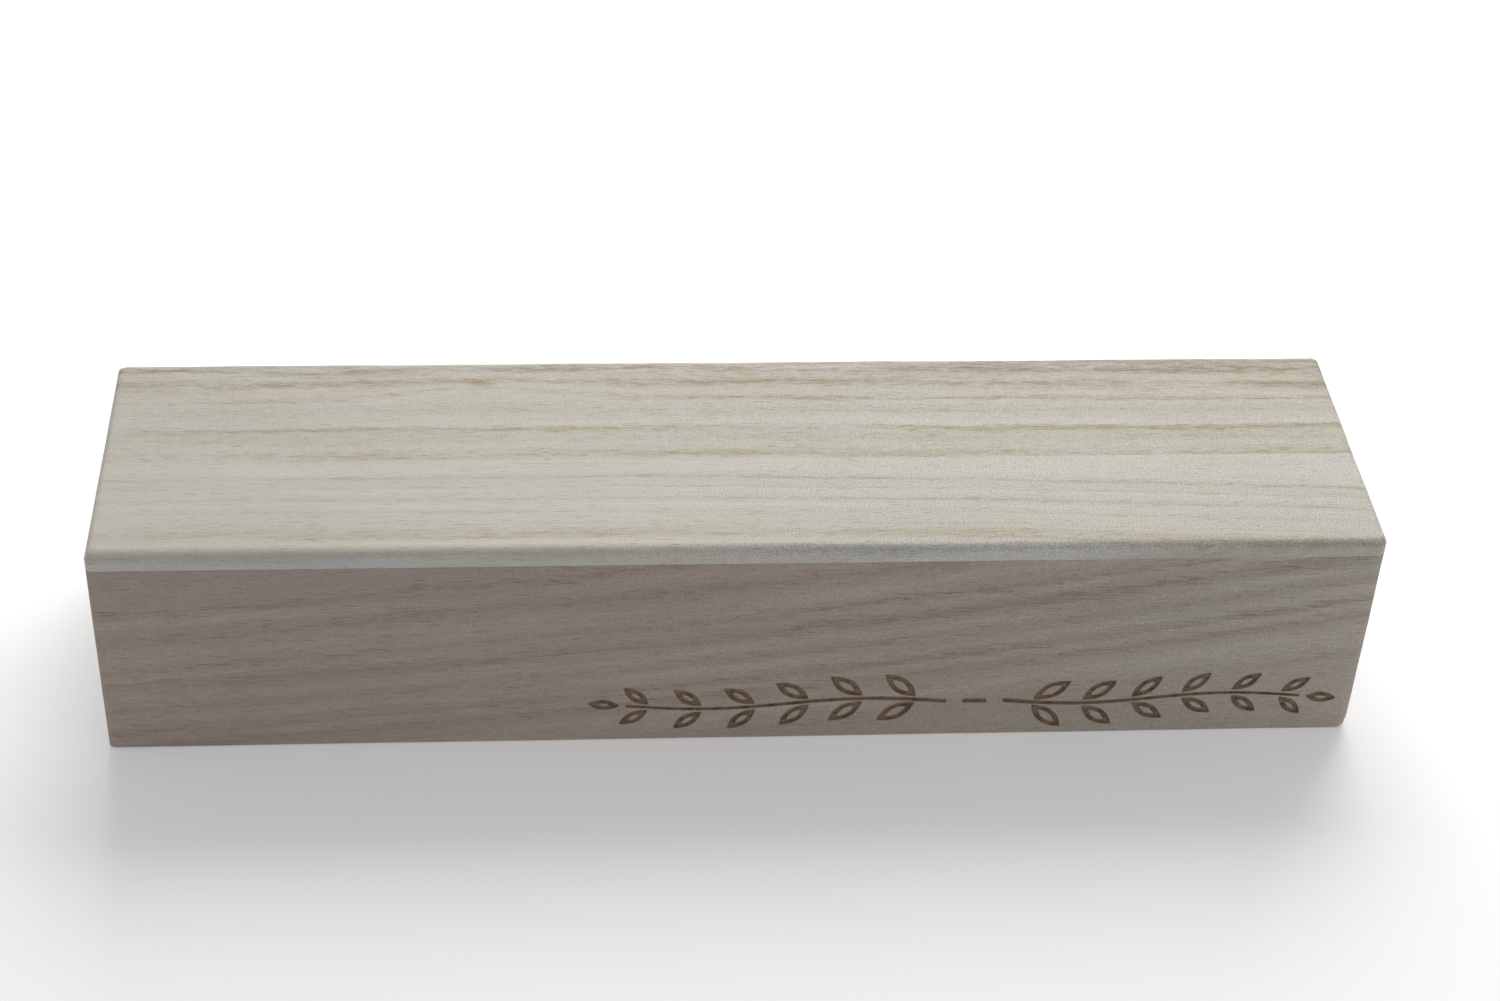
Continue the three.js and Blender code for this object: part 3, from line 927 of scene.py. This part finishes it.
def corner_place(corner):
    low, high = node_box(f"bottom_screw_{corner}")
    return (low + high) / 2, low, high


HOLE_PLAY = 0.15 * MM
SHANK_RADIUS = 1.45 * MM
CORE_RADIUS = 1.0 * MM
POINT_LENGTH = 3.0 * MM


def hole_cutter(corner, material):
    """The countersunk hole that one screw sits in, from under the panel up into its block."""
    centre, low, high = corner_place(corner)
    mouth = (high[0] - low[0]) / 2 + low[2] + HOLE_PLAY
    radius = SHANK_RADIUS + HOLE_PLAY
    below = -1 * MM
    top = high[2] + 1.5 * MM
    profile = [(0, below), (mouth - below, below), (radius, mouth - radius), (radius, top), (0, top)]
    points, faces = turned(profile, SCREW_SIDES)
    moved = np.array(points) + (centre[0], centre[1], 0)
    return add_mesh("cutter", moved, faces, material, smooth=False)


def bottom_panel(material):
    _, (points, quads) = plank_surface("bottom_panel")
    piece = add_mesh("bottom_panel_wood", points, quads, material, smooth=False)
    soften(piece, 0.35 * MM)
    carve(piece, *[hole_cutter(corner, material) for corner in CORNERS])
    piece.data.shade_smooth()
    piece.data.set_sharp_from_angle(angle=SHARP_ANGLE)
    return stand_for(piece, "bottom_panel")


BLOCK_CHAMFER = 3.0 * MM


def corner_block(corner, material):
    """A sawn post with its inner edge planed off, bored from below."""
    node = f"corner_block_{corner}"
    low, high = node_box(node)
    inner_x = low[0] if abs(low[0]) < abs(high[0]) else high[0]
    inner_y = low[1] if abs(low[1]) < abs(high[1]) else high[1]
    outer_x, outer_y = low[0] + high[0] - inner_x, low[1] + high[1] - inner_y
    step_x = math.copysign(BLOCK_CHAMFER, outer_x - inner_x)
    step_y = math.copysign(BLOCK_CHAMFER, outer_y - inner_y)
    outline = [
        (outer_x, outer_y), (inner_x, outer_y), (inner_x, inner_y + step_y),
        (inner_x + step_x, inner_y), (outer_x, inner_y),
    ]
    if step_x * step_y < 0:
        outline.reverse()
    layers = np.linspace(low[2], high[2], 12)
    points = [(x, y, z) for z in layers for x, y in outline]
    count = len(outline)
    faces = [tuple(reversed(range(count))), tuple(range(len(points) - count, len(points)))]
    for layer in range(len(layers) - 1):
        for k in range(count):
            a, b = layer * count, (layer + 1) * count
            after = (k + 1) % count
            faces.append((a + k, a + after, b + after, b + k))
    piece = add_mesh(f"{node}_wood", points, faces, material, smooth=False)
    soften(piece, 0.3 * MM)
    carve(piece, hole_cutter(corner, material))
    piece.data.shade_smooth()
    piece.data.set_sharp_from_angle(angle=SHARP_ANGLE)
    return stand_for(piece, node)


def thread_radius(radius, height, angle):
    """A sharp ridge that winds round the core; only rows with the core's mark have it."""
    if radius > CORE_RADIUS + 1e-9:
        return radius
    turn = (height / THREAD_PITCH - angle / (2 * math.pi)) % 1
    ridge = max(0.0, 1 - abs(turn - 0.5) / 0.24)
    return radius + (SHANK_RADIUS - CORE_RADIUS) * ridge * min(1, radius / (0.4 * CORE_RADIUS))


def recess_arm(centre, top, turn, material):
    """One tapered bar of the cross recess."""
    mouth, foot = (1.55 * MM, 0.42 * MM), (0.75 * MM, 0.26 * MM)
    levels = ((-0.5 * MM, mouth), (0, mouth), (1.2 * MM, foot))
    points = []
    for depth, (half_length, half_width) in levels:
        for sx, sy in ((-1, -1), (1, -1), (1, 1), (-1, 1)):
            v = Matrix.Rotation(turn, 3, "Z") @ Vector((sx * half_length, sy * half_width, 0))
            points.append((centre[0] + v.x, centre[1] + v.y, top + depth))
    faces = [(3, 2, 1, 0), (8, 9, 10, 11)]
    for level in (0, 4):
        for k in range(4):
            after = (k + 1) % 4
            faces.append((level + k, level + after, level + 4 + after, level + 4 + k))
    return add_mesh("recess", points, faces, material, smooth=False)


def screw(corner, material):
    """A countersunk wood screw, head down, with a cut thread and a cross recess."""
    centre, low, high = corner_place(corner)
    head = (high[0] - low[0]) / 2
    neck = low[2] + head - CORE_RADIUS - 0.3 * MM
    start = neck + 1.2 * MM
    profile = [(0, low[2]), (head - 0.12 * MM, low[2]), (head, low[2] + 0.12 * MM)]
    profile += [(head - 0.25 * MM, low[2] + 0.45 * MM), (CORE_RADIUS + 0.3 * MM, neck)]
    profile.append((CORE_RADIUS, start))
    rows = round((high[2] - start) / THREAD_PITCH * THREAD_ROWS)
    for height in np.linspace(start, high[2], rows, endpoint=False)[1:]:
        profile.append((CORE_RADIUS * min(1, (high[2] - height) / POINT_LENGTH), height))
    profile.append((0, high[2]))
    points, faces = turned(profile, SCREW_SIDES, thread_radius)
    node = f"bottom_screw_{corner}"
    moved = np.array(points) + (centre[0], centre[1], 0)
    piece = add_mesh(f"{node}_brass", moved, faces, material, smooth=False)
    turn = RECESS_TURNS[corner]
    arms = [recess_arm(centre, low[2], turn + quarter, material) for quarter in (0, math.pi / 2)]
    carve(piece, *arms)
    piece.data.shade_smooth()
    piece.data.set_sharp_from_angle(angle=SHARP_ANGLE)
    return stand_for(piece, node)


# ---------------------------------------------------------------------------
# Camera, floor and light
# ---------------------------------------------------------------------------

CAMERA_AZIMUTH = math.radians(-5.748)
CAMERA_ELEVATION = math.radians(38.2414)
CAMERA_ROLL = math.radians(2.9696)
CAMERA_LENS = 66.9367  # millimetres, on a sensor 36 millimetres wide
# From the middle of the front lower edge, in lengths of the plaque.
CAMERA_PLACE = Vector((-0.1658, -1.6393, 1.543))


FLOOR_HALF = 6.0


def make_camera():
    camera = bpy.data.objects.new("camera", bpy.data.cameras.new("camera"))
    bpy.context.scene.collection.objects.link(camera)
    camera.data.sensor_width = 36
    camera.data.lens = CAMERA_LENS
    camera.data.clip_start = 0.01
    turn = Matrix.Rotation(CAMERA_AZIMUTH, 4, "Z")
    tilt = Matrix.Rotation(math.pi / 2 - CAMERA_ELEVATION, 4, "X")
    roll = Matrix.Rotation(CAMERA_ROLL, 4, "Z")
    foot = Vector((0, LOW[1], LOW[2]))
    camera.matrix_world = Matrix.Translation(foot + CAMERA_PLACE * LENGTH) @ turn @ tilt @ roll
    bpy.context.scene.camera = camera


def make_floor():
    g = Graph("floor")
    inputs = {"Base Color": (0.95, 0.95, 0.95, 1), "Roughness": 0.9, "Specular IOR Level": 0.1}
    inputs |= {"Emission Color": (1, 1, 1, 1), "Emission Strength": 0.18}
    shader = g.add("ShaderNodeBsdfPrincipled", inputs).outputs[0]
    g.add("ShaderNodeOutputMaterial", {"Surface": shader})
    corners = [
        (side_x * FLOOR_HALF, side_y * FLOOR_HALF, LOW[2])
        for side_x, side_y in ((-1, -1), (1, -1), (1, 1), (-1, 1))
    ]
    add_mesh("floor", corners, [(0, 1, 2, 3)], g.material, smooth=False)


def area_light(name, place, aim, size, power):
    light = bpy.data.objects.new(name, bpy.data.lights.new(name, "AREA"))
    bpy.context.scene.collection.objects.link(light)
    light.data.shape = "SQUARE"
    light.data.size = size
    light.data.energy = power
    light.location = place
    light.rotation_euler = (Vector(aim) - Vector(place)).to_track_quat("-Z", "Y").to_euler()


def make_light():
    area_light("key", (0.28, 1.25, 1.12), (0, 0, 0), 1.4, 27.3)
    area_light("fill", (1.1, -0.9, 0.7), (0, 0, 0), 0.8, 0.7)
    world = bpy.data.worlds.new("studio")
    bpy.context.scene.world = world
    world.use_nodes = True
    background = world.node_tree.nodes["Background"]
    background.inputs["Color"].default_value = (0.985, 0.995, 1.02, 1)
    background.inputs["Strength"].default_value = 0.40
    bpy.context.scene.view_settings.view_transform = "Standard"


# ---------------------------------------------------------------------------
# The assembly
# ---------------------------------------------------------------------------

woods = make_woods()
plank("top_front_stave", woods["pale_wood"])
plank("top_rear_stave", woods["streaked_wood"])
engraved_front(woods["front_wood"])
plank("back_board", woods["back_wood"], wall_cuts())
plank("left_end_board", woods["end_wood"], [bottom_rebate()])
plank("right_end_board", woods["end_wood"], [bottom_rebate()])
bottom_panel(woods["panel_wood"])
brass = make_brass()
for corner in CORNERS:
    corner_block(corner, woods["block_wood"])
    screw(corner, brass)

make_camera()
make_floor()
make_light()
